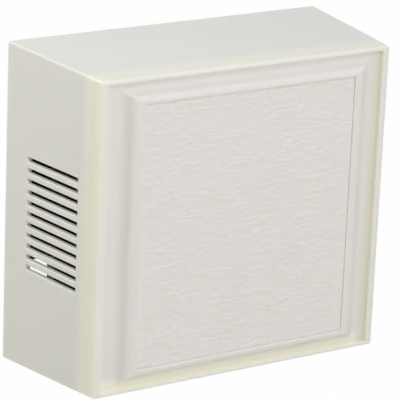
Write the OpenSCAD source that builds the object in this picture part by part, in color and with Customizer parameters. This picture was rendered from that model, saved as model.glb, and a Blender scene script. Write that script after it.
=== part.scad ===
// Doorbell chime box: an ivory cover over a two-note striking chime, in millimetres.
// The wall is the plane y = 0, the front faces -Y, +Z is up and x = 0 is the middle of the box.

/* [Cover] */
// Width of the cover at the wall
cover_w = 153; // [145:1:165]
// Height of the cover at the wall
cover_h = 138; // [134:1:150]
// Depth from the wall to the front rim
cover_d = 64.5; // [60:0.5:75]
// How far each side wall leans in by the time it reaches the rim
side_draft = 6.5; // [2:0.5:8]
// How far the top and bottom walls lean in by the time they reach the rim
end_draft = 2.5; // [1:0.5:4]
// Wall thickness of the cover
wall_t = 2.5; // [1.8:0.1:3.2]
// Gap between the cover's back edge and the wall
wall_gap = 0.4; // [0.2:0.1:1]
// Radius of the rim's outer edge
rim_round = 0.8; // [0.4:0.1:1]

/* [Front moulding] */
// Width of the rim along the sides
rim_side = 3; // [2.2:0.1:4]
// Width of the rim along the top and bottom
rim_end = 1.8; // [1.2:0.1:2.2]
// Depth of the trough behind the rim
trough_depth = 1.6; // [1.4:0.1:2]
// Radius at the foot of the rim along the sides
cove_side = 1.2; // [0.6:0.1:1.3]
// Radius at the foot of the rim along the top and bottom
cove_end = 0.8; // [0.3:0.1:1]
// Width of the trough's flat floor along the sides
flat_side = 4.1; // [3:0.1:5]
// Width of that floor along the top and bottom
flat_end = 1; // [0.4:0.1:1.6]
// Width of the curved slope from the trough up to the frame along the sides
slope_side = 8.6; // [7.5:0.1:9.5]
// Width of that slope along the top and bottom
slope_end = 6.1; // [5.6:0.1:6.8]
// How far the raised frame stands in front of the rim
frame_proud = 3; // [2:0.1:3.2]
// Width of the frame's flat face along the sides
lip_side = 1.9; // [1.2:0.1:3]
// Width of the frame's flat face along the top and bottom
lip_end = 0.7; // [0.5:0.1:1.5]
// Radius of the frame's outer edge along the sides
lip_round_side = 4.8; // [3:0.1:5.2]
// Radius of the frame's outer edge along the top and bottom
lip_round_end = 3; // [2:0.1:3.3]

/* [Front panel] */
// Thickness of the insert panel
panel_t = 2; // [1:0.1:3]
// How far the panel lies behind the face of the frame
panel_recess = 0.8; // [0.3:0.1:1.5]
// Gap between the panel's edge and the frame
panel_gap = 0.15; // [0.1:0.05:0.5]
// Width of the ledge that the panel is stuck to
panel_ledge = 3; // [2:0.5:6]

/* [Vents] */
// Number of slots in each side wall
vent_n = 11; // [5:1:12]
// Distance from slot to slot
vent_pitch = 4.65; // [4:0.05:5]
// Height of one slot
vent_h = 2; // [1:0.1:2.6]
// Length of one slot
vent_len = 34.5; // [20:0.5:34.5]
// Distance from the wall to the back end of the slots
vent_back = 15.5; // [13:0.5:15.5]
// Height of the middle slot above the middle of the box
vent_z = -0.7; // [-8:0.1:8]

/* [Base plate] */
// Thickness of the base plate
base_t = 3; // [2.5:0.1:4]
// Gap between the base and the inside of the cover
fit_gap = 0.4; // [0.3:0.05:0.8]
// Width of the lower part of the plate
base_low_w = 111; // [110:1:124]
// Distance from the middle down to where the plate narrows
base_step = 25; // [22:1:36]
// Thickness of the rib round the edge of the plate
border_t = 1.6; // [1.2:0.1:2.5]
// Height of that rib above the plate
border_h = 3; // [1.5:0.5:4]
// Distance from the wall to the front end of the tongues that the cover slides over
tongue_len = 14; // [10:1:18]
// Thickness of a tongue at its front end
tongue_t = 2; // [1.5:0.1:3]
// Width of a tongue
tongue_w = 20; // [12:1:26]
// Distance of the tongues from the middle of the box
tongue_x = 44; // [40:1:44]
// Distance between the two wall screws
wall_screw_span = 70; // [62:1:74]
// Radius of a wall screw hole
wall_screw_r = 2.25; // [1.75:0.05:2.75]
// Width of the boss round a wall screw hole
wall_boss_t = 3; // [2:0.5:3.5]
// Height of that boss above the plate
wall_boss_h = 1.5; // [0.5:0.5:3]
// Radius of the hole that the bell wires come through
entry_r = 8; // [5:0.5:9]
// Height of that hole above the middle of the box
entry_z = 9; // [7:0.5:12]

/* [Tone bars] */
// Length of a tone bar
bar_len = 116; // [112:1:120]
// Depth of a tone bar, wall to front
bar_d = 24; // [18:1:24]
// Thickness of a tone bar
bar_t = 2.5; // [2:0.1:3]
// Gap left round a bar's ends where the base's rib makes way for it
bar_gap = 0.8; // [0.5:0.1:1]
// Distance between the two bars, middle to middle
bar_span = 100; // [98:1:104]
// Radius of the hole for a grommet
bar_hole_r = 3.4; // [3:0.1:4]
// Radius of a grommet's flanges
grommet_r = 5; // [4.6:0.1:5.4]
// Thickness of a grommet's flange
grommet_flange = 1.6; // [1:0.1:2]
// Radius of a bar pin
pin_r = 1.5; // [1.2:0.1:1.8]
// Radius of a bar pin's head
pin_head_r = 3.2; // [2.5:0.1:4]
// Thickness of a bar pin's head
pin_head_t = 1.2; // [0.8:0.1:2]
// Thickness of a bar shelf
shelf_t = 3; // [2.5:0.1:4]
// Width of a bar shelf
shelf_w = 11; // [10.8:0.1:12]
// Thickness of the gusset under a shelf
gusset_t = 2; // [1.5:0.1:3]
// Drop of the gusset at the plate
gusset_drop = 5; // [3:0.5:6]

/* [Solenoids] */
// Distance of each solenoid's axis from the middle of the box
coil_x = 44; // [43.6:0.1:46]
// Height of the middle of the coils above the middle of the box
coil_z = 19; // [18:0.5:20]
// Radius of the bobbin's flanges
bobbin_r = 11.5; // [10.5:0.1:12]
// Radius of the bobbin's barrel
barrel_r = 4.5; // [4:0.1:5.5]
// Thickness of a bobbin flange
bobbin_flange = 1.2; // [0.8:0.1:2]
// How far the winding stays inside the flanges
winding_inset = 0.7; // [0.3:0.1:2]
// Sheet thickness of the steel frame
sheet_t = 1.5; // [1:0.1:2]
// Outer height of the steel frame
yoke_h = 34; // [30:0.5:35]
// Width of the steel frame
yoke_w = 24; // [22:0.5:24.4]
// Radius of the plunger holes in the frame
yoke_hole_r = 3.9; // [3.5:0.1:4]
// Length of the ear that the frame screw holds
ear_len = 6; // [5:0.5:7]
// Height of that ear
ear_h = 9; // [7:0.5:12]
// Radius of a frame screw
yoke_screw_r = 1.2; // [1:0.1:1.5]
// Gap round the edge that the base's hook holds
hook_gap = 0.2; // [0.1:0.05:0.4]
// Thickness of that hook
hook_t = 2.5; // [1.8:0.1:3]
// How far the hook laps over the frame
hook_lap = 1.6; // [1:0.1:2]

/* [Plungers] */
// Radius of the steel core
core_r = 3; // [2.5:0.1:3.3]
// Length of the steel core
core_len = 34; // [30:0.5:36]
// Running clearance between core and bobbin
core_gap = 0.08; // [0.03:0.01:0.1]
// Travel from rest up to the upper bar
stroke = 10; // [8:0.5:10]
// Gap left at the upper bar at the end of the travel
strike_gap = 0.35; // [0.3:0.05:0.6]
// Gap between the lower striker and the lower bar at rest
rest_gap = 0.8; // [0.7:0.1:1.5]
// Radius of the upper tip
tip_r = 2.2; // [1.8:0.1:2.4]
// Radius of the lower striker's rod
rod_r = 2.4; // [2:0.1:2.5]
// Radius of the striker's spring collar
collar_r = 5.4; // [5.2:0.1:6]
// Thickness of that collar
collar_t = 1.6; // [1:0.1:2.5]
// Thickness of the felt pad under the rear striker
felt_t = 3; // [2:0.5:4]
// Radius of that pad
felt_r = 3.4; // [2.6:0.1:5]

/* [Springs] */
// Length of a return spring at rest
spring_len = 25; // [22:0.5:28]
// Radius of the spring to the middle of its wire
spring_r = 4.3; // [4.1:0.1:4.6]
// Radius of the spring wire
spring_wire_r = 0.35; // [0.25:0.05:0.4]
// Number of curls in a spring
spring_curls = 9; // [6:1:11]
// Gap between the last two curls at each end
spring_own_gap = 0.45; // [0.42:0.01:0.6]

/* [Terminals] */
// Width of the terminal strip
strip_w = 46; // [42:1:48]
// Height of the terminal strip
strip_h = 13; // [11:0.5:14]
// Thickness of the terminal strip
strip_t = 8; // [6:0.5:9]
// Height of the strip's middle above the middle of the box
strip_z = -14; // [-16:0.5:-13]
// Distance between terminals
terminal_pitch = 14; // [11:0.5:14]
// Radius of a terminal screw
terminal_screw_r = 1.5; // [1.2:0.1:1.8]
// Radius of a terminal screw's head
terminal_head_r = 3.2; // [2.6:0.1:3.6]
// Side of a square clamp washer
clamp_side = 8; // [7:0.5:9]
// Thickness of a clamp washer
clamp_t = 1; // [0.6:0.1:1.5]
// Radius of the pegs that hold the strip
peg_r = 1.5; // [1:0.1:1.8]
// Radius of a coil lead
lead_r = 0.5; // [0.3:0.05:0.6]

/* [Hidden] */
$fn = 64;
eps = 0.01;
reach = 400;
slip = 0.05;
// How far a cutting shape runs past what it cuts.
over = 1;
// Number of straight steps in each arc of the frame's slope.
arc_steps = 8;
// A free bar stands still at this share of its own length from each end.
still_point = 0.2242;

front_w = cover_w - 2 * side_draft;
front_h = cover_h - 2 * end_draft;
function outer_x(y) = cover_w / 2 + side_draft * y / cover_d;
function outer_z(y) = cover_h / 2 + end_draft * y / cover_d;
function inner_x(y) = outer_x(y) - wall_t;
function inner_z(y) = outer_z(y) - wall_t;

rim_y = -cover_d;
lip_y = rim_y - frame_proud;
trough_y = rim_y + trough_depth;
floor_y = trough_y + wall_t;
trough_x = front_w / 2 - rim_side;
trough_z = front_h / 2 - rim_end;
slope_rise = trough_depth + frame_proud;
face_x = trough_x - cove_side - flat_side - slope_side;
face_z = trough_z - cove_end - flat_end - slope_end;
window_x = face_x - lip_side;
window_z = face_z - lip_end;
panel_front_y = lip_y + panel_recess;
panel_back_y = panel_front_y + panel_t;
ledge_y = panel_back_y + wall_t;

plate_x = inner_x(-base_t) - fit_gap;
plate_z = inner_z(-base_t) - fit_gap;

axis_y = -(base_t + sheet_t + slip + bobbin_r + slip);
yoke_y0 = -base_t;
yoke_y1 = axis_y - bobbin_r - slip;
yoke_z0 = coil_z - yoke_h / 2;
yoke_z1 = coil_z + yoke_h / 2;
bobbin_z0 = yoke_z0 + sheet_t + slip;
bobbin_z1 = yoke_z1 - sheet_t - slip;
ear_x = yoke_w / 2 + ear_len / 2;
yoke_screw_head_r = yoke_screw_r * 2;
yoke_screw_head_t = yoke_screw_r * 1.2;

bar_node_x = bar_len * (0.5 - still_point);
upper_z = bar_span / 2;
lower_z = -bar_span / 2;
shelf_drop = bar_t / 2 + grommet_flange + 2 * slip;
shelf_end_y = axis_y - shelf_w / 2;

core_z1 = coil_z - stroke + core_len / 2;
core_z0 = core_z1 - core_len;
tip_z1 = upper_z - bar_t / 2 - strike_gap - stroke;
striker_z0 = lower_z + bar_t / 2 + rest_gap;
collar_z1 = yoke_z0 - spring_len;

strip_y = -(base_t + strip_t);
clamp_y = strip_y - 2 * lead_r - 2 * slip;
terminal_head_t = terminal_screw_r * 1.3;
peg_x = strip_w / 2 - 2 * peg_r;

// A profile drawn in (x, y) runs along Z, and one drawn in (y, z) runs along X.
module along_z() { linear_extrude(reach, center = true) children(); }
module along_x(len = reach) { rotate([90, 0, 90]) linear_extrude(len, center = true) children(); }
// Turns a cylinder that stands on +Z so that it runs from the wall towards the front.
module to_front() { rotate([90, 0, 0]) children(); }
module both_sides() { for (side = [-1, 1]) scale_x(side) children(); }
module scale_x(side) { if (side < 0) mirror([1, 0, 0]) children(); else children(); }

// What a round of radius r takes off a square front corner, seen from the middle of the round.
module outer_corner(r, side) {
  difference() {
    translate([side > 0 ? 0 : -2 * r, -2 * r]) square(2 * r);
    circle(r);
  }
}

// Profile of the leaning walls: half width b at the back and f at the front, whose corners are rounded by r.
module wall_profile(b, f, y_back, y_front, r) {
  difference() {
    polygon([[-b, y_back], [b, y_back], [f, y_front], [-f, y_front]]);
    for (side = [-1, 1]) translate([side * (f - r), y_front + r]) outer_corner(r, side);
  }
}

// The shape of the trough's outer wall, with a round at the bottom of each side.
module trough_profile(half, r) {
  bottom = trough_y - r;
  translate([-half, lip_y - frame_proud]) square([2 * half, bottom - lip_y + frame_proud]);
  translate([-half + r, bottom - eps]) square([2 * (half - r), r + eps]);
  for (side = [-1, 1]) translate([side * (half - r), bottom]) circle(r);
}

// The slope of the raised frame, from the edge of its face out to the trough: a rounded edge, then a hollow.
// The two arcs meet where the slope is steepest.
function slope_points(face, slope, edge_r) =
  let (steepest = 2 * atan(slope_rise / slope), turn = steepest / arc_steps,
    hollow_r = slope / sin(steepest) - edge_r)
    concat(
      [for (k = [0 : arc_steps])
        [face + edge_r * sin(k * turn), lip_y + edge_r * (1 - cos(k * turn))]],
      [for (k = [arc_steps - 1 : -1 : 0])
        [face + slope - hollow_r * sin(k * turn), trough_y - hollow_r * (1 - cos(k * turn))]]);

// The raised frame: a flat face of half width face with a slope on both sides.
module frame_profile(face, slope, edge_r) {
  half = slope_points(face, slope, edge_r);
  foot = face + slope;
  back_y = trough_y + wall_t / 2;
  polygon(concat(half, [[foot, back_y], [-foot, back_y]],
    [for (k = [len(half) - 1 : -1 : 0]) [-half[k].x, half[k].y]]));
}

// A block whose section is a rectangle at every depth, from a profile for each direction.
module crossed() {
  intersection() {
    along_z() children(0);
    rotate([0, 90, 0]) along_z() children(1);
  }
}

module cover_outside() {
  crossed() {
    wall_profile(outer_x(-wall_gap), outer_x(rim_y), -wall_gap, rim_y, rim_round);
    wall_profile(outer_z(-wall_gap), outer_z(rim_y), -wall_gap, rim_y, rim_round);
  }
}

module cover_hollow() {
  back_x = inner_x(over);
  back_z = inner_z(over);
  front_x = inner_x(floor_y);
  front_z = inner_z(floor_y);
  intersection() {
    along_z() polygon([[-back_x, over], [back_x, over], [front_x, floor_y], [-front_x, floor_y]]);
    along_x() polygon([[over, -back_z], [over, back_z], [floor_y, front_z], [floor_y, -front_z]]);
  }
}

module front_block(half_x, half_z, y_front, y_back) {
  translate([-half_x, y_front, -half_z]) cube([2 * half_x, y_back - y_front, 2 * half_z]);
}

module raised_frame(inset = 0) {
  crossed() {
    frame_profile(face_x - inset, slope_side, lip_round_side);
    frame_profile(face_z - inset, slope_end, lip_round_end);
  }
}

// The space behind the raised frame and the panel's ledge, a wall's thickness inside the slope.
module frame_hollow() {
  intersection() {
    translate([0, wall_t, 0]) raised_frame(wall_t);
    front_block(trough_x, trough_z, ledge_y, floor_y + eps);
  }
}

module trough() {
  crossed() {
    trough_profile(trough_x, cove_side);
    trough_profile(trough_z, cove_end);
  }
}

module vents() {
  for (i = [0 : vent_n - 1])
    translate([0, -vent_back - vent_len / 2, vent_z + (i - (vent_n - 1) / 2) * vent_pitch])
      cube([reach, vent_len, vent_h], center = true);
}

module cover() {
  color("#e6e3d3")
    difference() {
      union() {
        difference() {
          cover_outside();
          trough();
        }
        raised_frame();
      }
      cover_hollow();
      frame_hollow();
      front_block(window_x, window_z, lip_y - over, panel_back_y);
      front_block(window_x - panel_ledge, window_z - panel_ledge, lip_y - over, floor_y);
      vents();
    }
}

module front_panel() {
  color("#eeece6")
    front_block(window_x - panel_gap, window_z - panel_gap, panel_front_y, panel_back_y);
}

// Outline of the base plate, drawn in (x, z): wide above the step and narrow below it.
module base_outline(inset) {
  wide = plate_x - inset;
  low = base_low_w / 2 - inset;
  high = plate_z - inset;
  step = -base_step + inset;
  polygon([[-wide, high], [wide, high], [wide, step], [low, step],
    [low, -high], [-low, -high], [-low, step], [-wide, step]]);
}

// A tongue that follows the lean of the cover's top or bottom wall.
module tongue() {
  root_y = -base_t / 2;
  end_z = inner_z(-tongue_len) - fit_gap;
  along_x(tongue_w)
    polygon([[root_y, plate_z - tongue_t], [root_y, plate_z], [-base_t, plate_z],
      [-tongue_len, end_z], [-tongue_len, end_z - tongue_t]]);
}

// A shelf under a tone bar, with a gusset, for the bar whose middle is at bar_z.
module shelf(bar_z) {
  top = bar_z - shelf_drop;
  translate([-shelf_w / 2, shelf_end_y, top - shelf_t]) cube([shelf_w, -base_t / 2 - shelf_end_y, shelf_t]);
  along_x(gusset_t)
    polygon([[-base_t / 2, top - eps], [-base_t / 2, top - shelf_t - gusset_drop],
      [-base_t, top - shelf_t - gusset_drop], [shelf_end_y, top - shelf_t], [shelf_end_y, top - eps]]);
}

// A moulded hook that holds the outer edge of a solenoid frame's back.
module yoke_hook() {
  hook_y = -(base_t + sheet_t + hook_gap);
  edge = coil_x + yoke_w / 2 + hook_gap;
  translate([0, 0, coil_z])
    linear_extrude(ear_h, center = true)
      polygon([[edge, -base_t / 2], [edge + hook_t, -base_t / 2], [edge + hook_t, hook_y - hook_t],
        [edge, hook_y - hook_t], [edge - hook_lap, hook_y], [edge, hook_y]]);
}

module base_plate() {
  color("#1b1b1c")
    difference() {
      union() {
        to_front() linear_extrude(base_t) base_outline(0);
        to_front() linear_extrude(base_t + border_h)
          difference() {
            base_outline(0);
            base_outline(border_t);
          }
        for (side = [-1, 1]) {
          translate([side * tongue_x, 0, 0]) tongue();
          translate([side * tongue_x, 0, 0]) mirror([0, 0, 1]) tongue();
          for (bar_z = [upper_z, lower_z]) translate([side * bar_node_x, 0, 0]) shelf(bar_z);
          translate([side * peg_x, 0, strip_z]) to_front() cylinder(r = peg_r, h = base_t + strip_t);
          translate([0, 0, side * wall_screw_span / 2])
            to_front() cylinder(r = wall_screw_r + wall_boss_t, h = base_t + wall_boss_h);
        }
        both_sides() yoke_hook();
      }
      for (side = [-1, 1]) {
        translate([0, over, side * wall_screw_span / 2]) to_front() cylinder(r = wall_screw_r, h = reach);
        translate([side * (coil_x - ear_x), over, coil_z])
          to_front() cylinder(r = yoke_screw_r + slip, h = base_t + 2 * over);
        for (bar_z = [upper_z, lower_z])
          translate([side * bar_node_x, axis_y, bar_z - shelf_drop - shelf_t - over])
            cylinder(r = pin_r + slip, h = shelf_t + 2 * over);
      }
      for (bar_z = [upper_z, lower_z])
        translate([0, axis_y, bar_z])
          cube([bar_len + 2 * bar_gap, bar_d + 2 * bar_gap, bar_t + 2 * bar_gap], center = true);
      translate([0, over, entry_z]) to_front() cylinder(r = entry_r, h = base_t + 2 * over);
    }
}

module tone_bar(bar_z) {
  difference() {
    translate([0, axis_y, bar_z]) cube([bar_len, bar_d, bar_t], center = true);
    for (side = [-1, 1])
      translate([side * bar_node_x, axis_y, bar_z])
        cylinder(r = bar_hole_r, h = bar_t + 2 * over, center = true);
  }
}
module upper_tone_bar() { color("#8f9294") tone_bar(upper_z); }
module lower_tone_bar() { color("#8f9294") tone_bar(lower_z); }

// Puts a child at each of the four places where a tone bar is held.
module at_bar_nodes() {
  for (side = [-1, 1], bar_z = [upper_z, lower_z])
    translate([side * bar_node_x, axis_y, bar_z]) children();
}

module tone_bar_grommets() {
  half = bar_t / 2 + slip;
  end = half + grommet_flange;
  neck_r = bar_hole_r - slip;
  bore_r = pin_r + slip;
  color("#5c4a3a")
    at_bar_nodes()
      rotate_extrude()
        polygon([[bore_r, -end], [grommet_r, -end], [grommet_r, -half], [neck_r, -half],
          [neck_r, half], [grommet_r, half], [grommet_r, end], [bore_r, end]]);
}

module tone_bar_pins() {
  color("#b9babc")
    at_bar_nodes() {
      translate([0, 0, -shelf_drop - shelf_t]) cylinder(r = pin_r, h = 2 * shelf_drop + shelf_t + eps);
      translate([0, 0, shelf_drop]) cylinder(r = pin_head_r, h = pin_head_t);
    }
}

// A bent strip: a back against the base, a flange at each end and an ear towards the middle of the box.
module solenoid_frame() {
  difference() {
    union() {
      translate([-yoke_w / 2, -base_t - sheet_t, yoke_z0]) cube([yoke_w, sheet_t, yoke_h]);
      for (z = [yoke_z0, yoke_z1 - sheet_t])
        translate([-yoke_w / 2, yoke_y1, z]) cube([yoke_w, yoke_y0 - yoke_y1, sheet_t]);
      translate([-yoke_w / 2 - ear_len, -base_t - sheet_t, coil_z - ear_h / 2])
        cube([ear_len + eps, sheet_t, ear_h]);
    }
    translate([0, axis_y, yoke_z0 - over]) cylinder(r = yoke_hole_r, h = yoke_h + 2 * over);
    translate([-ear_x, 0, coil_z]) to_front() cylinder(r = yoke_screw_r + slip, h = base_t + sheet_t + over);
  }
}

// The rear door's solenoid stands on the right, and the front door's is its mirror image on the left.
module at_rear() { translate([coil_x, 0, 0]) children(); }
module at_front() { mirror([1, 0, 0]) at_rear() children(); }

module front_solenoid_frame() { color("#9da0a3") at_front() solenoid_frame(); }
module rear_solenoid_frame() { color("#9da0a3") at_rear() solenoid_frame(); }

module bobbin() {
  bore_r = core_r + core_gap;
  translate([0, axis_y, 0])
    rotate_extrude()
      polygon([[bore_r, bobbin_z0], [bobbin_r, bobbin_z0], [bobbin_r, bobbin_z0 + bobbin_flange],
        [barrel_r, bobbin_z0 + bobbin_flange], [barrel_r, bobbin_z1 - bobbin_flange],
        [bobbin_r, bobbin_z1 - bobbin_flange], [bobbin_r, bobbin_z1], [bore_r, bobbin_z1]]);
}
module front_bobbin() { color("#242424") at_front() bobbin(); }
module rear_bobbin() { color("#242424") at_rear() bobbin(); }

module coil_winding() {
  z0 = bobbin_z0 + bobbin_flange + slip;
  z1 = bobbin_z1 - bobbin_flange - slip;
  full_r = bobbin_r - winding_inset;
  shoulder = winding_inset / 2;
  translate([0, axis_y, 0])
    rotate_extrude()
      polygon([[barrel_r + slip, z0], [full_r - shoulder, z0], [full_r, z0 + shoulder],
        [full_r, z1 - shoulder], [full_r - shoulder, z1], [barrel_r + slip, z1]]);
}
module front_coil_winding() { color("#b4662f") at_front() coil_winding(); }
module rear_coil_winding() { color("#b4662f") at_rear() coil_winding(); }

module plunger_core() { translate([0, axis_y, core_z0]) cylinder(r = core_r, h = core_len); }
module front_plunger_core() { color("#7d8084") at_front() plunger_core(); }
module rear_plunger_core() { color("#7d8084") at_rear() plunger_core(); }

// A rod with a domed end that stands on the core.
module upper_tip() {
  translate([0, axis_y, 0]) {
    translate([0, 0, core_z1]) cylinder(r = tip_r, h = tip_z1 - tip_r - core_z1);
    translate([0, 0, tip_z1 - tip_r]) intersection() {
      sphere(tip_r);
      translate([-tip_r, -tip_r, -eps]) cube([2 * tip_r, 2 * tip_r, 2 * tip_r]);
    }
  }
}
module front_upper_tip() { color("#efece2") at_front() upper_tip(); }
module rear_upper_tip() { color("#efece2") at_rear() upper_tip(); }

// The lower rod hangs from the core, carries the spring collar and ends above the lower bar.
module lower_rod(end_z) {
  translate([0, axis_y, end_z]) cylinder(r = rod_r, h = core_z0 - end_z);
  translate([0, axis_y, collar_z1 - collar_t]) cylinder(r = collar_r, h = collar_t);
}
module front_lower_striker() {
  color("#efece2")
    at_front() {
      lower_rod(striker_z0 + rod_r);
      translate([0, axis_y, striker_z0 + rod_r]) intersection() {
        sphere(rod_r);
        translate([-rod_r, -rod_r, eps - 2 * rod_r]) cube(2 * rod_r);
      }
    }
}
module rear_lower_striker() { color("#efece2") at_rear() lower_rod(striker_z0 + felt_t); }

module rear_felt_pad() {
  color("#6d6a62")
    at_rear() translate([0, axis_y, striker_z0]) cylinder(r = felt_r, h = felt_t);
}

// A tube swept along points: each ring stands square to the path between its neighbours.
function unit(v) = v / norm(v);
function path_way(p, i) = unit(p[min(i + 1, len(p) - 1)] - p[max(i - 1, 0)]);
function ring(p, i, r, sides, up) =
  let (w = path_way(p, i), a = unit(cross(w, up)), b = cross(a, w))
    [for (k = [0 : sides - 1]) p[i] + r * (cos(360 * k / sides) * a + sin(360 * k / sides) * b)];
function fan(first, order) =
  [for (k = [1 : len(order) - 2]) [first + order[0], first + order[k], first + order[k + 1]]];
module tube(p, r, sides, up = [0, 0, 1]) {
  n = len(p);
  pts = [for (i = [0 : n - 1]) each ring(p, i, r, sides, up)];
  walls = [for (i = [0 : n - 2], k = [0 : sides - 1])
    let (a = i * sides + k, b = i * sides + (k + 1) % sides)
      each [[a, b, b + sides], [a, b + sides, a + sides]]];
  order = [for (k = [0 : sides - 1]) k];
  back = [for (k = [sides - 1 : -1 : 0]) k];
  polyhedron(pts, concat(walls, fan(0, back), fan((n - 1) * sides, order)));
}

// The return spring: one unbroken tube, closed up to a flat curl at each end.
rings_per_curl = 8;
spring_sides = 6;
spring_end = 2 * spring_wire_r + spring_own_gap;
spring_z1 = yoke_z0 - spring_wire_r - slip;
spring_z0 = collar_z1 + spring_wire_r + slip;
function spring_rise(t) =
  t < 1 ? spring_end * t :
  t > spring_curls - 1 ? spring_z1 - spring_z0 - spring_end * (spring_curls - t) :
  spring_end + (t - 1) * (spring_z1 - spring_z0 - 2 * spring_end) / (spring_curls - 2);
function spring_points() = [for (k = [0 : spring_curls * rings_per_curl])
  let (t = k / rings_per_curl)
    [spring_r * cos(360 * t), axis_y + spring_r * sin(360 * t), spring_z0 + spring_rise(t)]];
function own_gap(p, skip) = min([for (i = [0 : len(p) - 1 - skip]) let (j = i + skip) norm(p[i] - p[j])]);
echo(spring_gap = own_gap(spring_points(), rings_per_curl) - 2 * spring_wire_r);
module return_spring() { tube(spring_points(), spring_wire_r, spring_sides); }
module front_return_spring() { color("#c4c6c8") at_front() return_spring(); }
module rear_return_spring() { color("#c4c6c8") at_rear() return_spring(); }

// Puts a child at each terminal, in the middle of the strip.
module at_terminals() {
  for (i = [-1 : 1]) translate([i * terminal_pitch, 0, strip_z]) children();
}

module terminal_strip() {
  color("#3a2a20")
    difference() {
      translate([-strip_w / 2, strip_y, strip_z - strip_h / 2]) cube([strip_w, strip_t, strip_h]);
      for (side = [-1, 1])
        translate([side * peg_x, over, strip_z])
          to_front() cylinder(r = peg_r + slip, h = base_t + strip_t + 2 * over);
      at_terminals() to_front() cylinder(r = terminal_screw_r + slip, h = base_t + strip_t + over);
    }
}

module terminal_clamps() {
  color("#b08d4a")
    at_terminals()
      difference() {
        translate([-clamp_side / 2, clamp_y - clamp_t, -clamp_side / 2])
          cube([clamp_side, clamp_t, clamp_side]);
        to_front() cylinder(r = terminal_screw_r + slip, h = -clamp_y + clamp_t + over);
      }
}

// A round-headed screw with a straight slot, its head resting on the plane y = seat_y.
module slotted_screw(shank_r, head_r, head_t, seat_y, end_y) {
  slot_w = head_r / 4;
  difference() {
    union() {
      translate([0, end_y, 0]) to_front() cylinder(r = shank_r, h = end_y - seat_y + eps);
      translate([0, seat_y, 0]) to_front() cylinder(r = head_r, h = head_t);
    }
    translate([0, seat_y - head_t, 0]) cube([3 * head_r, head_t, slot_w], center = true);
  }
}

module terminal_screws() {
  color("#c2a45c")
    at_terminals()
      slotted_screw(terminal_screw_r, terminal_head_r, terminal_head_t,
        clamp_y - clamp_t - slip, -base_t - over);
}

module frame_screws() {
  color("#b9babc")
    both_sides()
      translate([coil_x - ear_x, 0, coil_z])
        slotted_screw(yoke_screw_r, yoke_screw_head_r, yoke_screw_head_t, -base_t - sheet_t - slip, -slip);
}

// Leads from the coils to the terminals, on the rear door's side: points picked by hand.
start_lead = [[33.1, -16.6, 9], [32, -16.8, 9], [30, -17, 8], [28, -17, 5], [26, -16.8, 1], [23, -16, -3],
  [20, -14.6, -5.6], [17, -12.8, -7.4], [15.2, -11.6, -8.8], [14.6, -11.55, -10.6]];
end_lead = [[33.1, -16.6, 26], [31.6, -17, 26], [28, -17.4, 25], [24, -17.6, 22], [19, -17.6, 16],
  [14, -17.4, 9], [9, -16.6, 3], [5.4, -15, -2], [3.2, -13, -5.8], [2.4, -11.6, -8.6], [2.2, -11.55, -10.6]];
module coil_leads() {
  lead_sides = 8;
  for (p = [start_lead, end_lead]) tube(p, lead_r, lead_sides, [0, 1, 0.35]);
}
module front_coil_leads() { color("#b4662f") mirror([1, 0, 0]) coil_leads(); }
module rear_coil_leads() { color("#b4662f") coil_leads(); }

cover();
front_panel();
base_plate();
upper_tone_bar();
lower_tone_bar();
tone_bar_grommets();
tone_bar_pins();
front_solenoid_frame();
rear_solenoid_frame();
front_bobbin();
rear_bobbin();
front_coil_winding();
rear_coil_winding();
front_plunger_core();
rear_plunger_core();
front_upper_tip();
rear_upper_tip();
front_lower_striker();
rear_lower_striker();
rear_felt_pad();
front_return_spring();
rear_return_spring();
terminal_strip();
terminal_clamps();
terminal_screws();
frame_screws();
front_coil_leads();
rear_coil_leads();
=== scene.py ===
import math

import bmesh
import bpy
from mathutils import Matrix, Vector


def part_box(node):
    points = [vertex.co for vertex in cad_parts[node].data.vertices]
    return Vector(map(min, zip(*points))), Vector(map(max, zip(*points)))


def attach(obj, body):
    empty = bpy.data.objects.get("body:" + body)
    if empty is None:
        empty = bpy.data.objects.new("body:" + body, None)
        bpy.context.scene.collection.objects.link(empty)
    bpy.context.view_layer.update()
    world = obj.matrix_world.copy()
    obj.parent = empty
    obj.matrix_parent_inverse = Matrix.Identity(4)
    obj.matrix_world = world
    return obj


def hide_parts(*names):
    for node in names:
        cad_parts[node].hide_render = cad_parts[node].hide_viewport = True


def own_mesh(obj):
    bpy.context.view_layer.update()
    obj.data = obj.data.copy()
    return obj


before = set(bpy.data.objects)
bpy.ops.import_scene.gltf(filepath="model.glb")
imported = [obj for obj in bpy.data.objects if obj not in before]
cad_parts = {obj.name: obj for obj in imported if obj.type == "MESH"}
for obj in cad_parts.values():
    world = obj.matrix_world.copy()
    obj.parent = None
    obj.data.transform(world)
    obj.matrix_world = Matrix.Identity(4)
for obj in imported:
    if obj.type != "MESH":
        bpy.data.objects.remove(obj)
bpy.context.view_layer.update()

scene = bpy.context.scene
scene.view_settings.view_transform = "Standard"
mm = 0.001

# The studio: a camera to the upper left of the chime with a long lens, so that its edges stay almost
# parallel. The chime hangs over a pale floor in a dim even room. Softboxes stand close by, in front, above
# and to the left, so the light falls off towards the bottom and the right.
camera_place = (-0.5793, -0.8967, 0.3297)
camera_heading, camera_dip, camera_roll = 33.8, 17.61, 2.41
camera_lens, camera_sensor = 233.3, 36
white = (1, 1, 1, 1)
room_color = (1.0, 0.998, 0.985, 1)
room_light = 0.29
floor_color = (0.92, 0.91, 0.82, 1)
floor_roughness = 0.9
floor_whiteness = 0.985
floor_drop, floor_reach = 0.30, 6.0


def placed(name, data):
    """Puts a new object into the scene."""
    thing = bpy.data.objects.new(name, data)
    scene.collection.objects.link(thing)
    return thing


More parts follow.
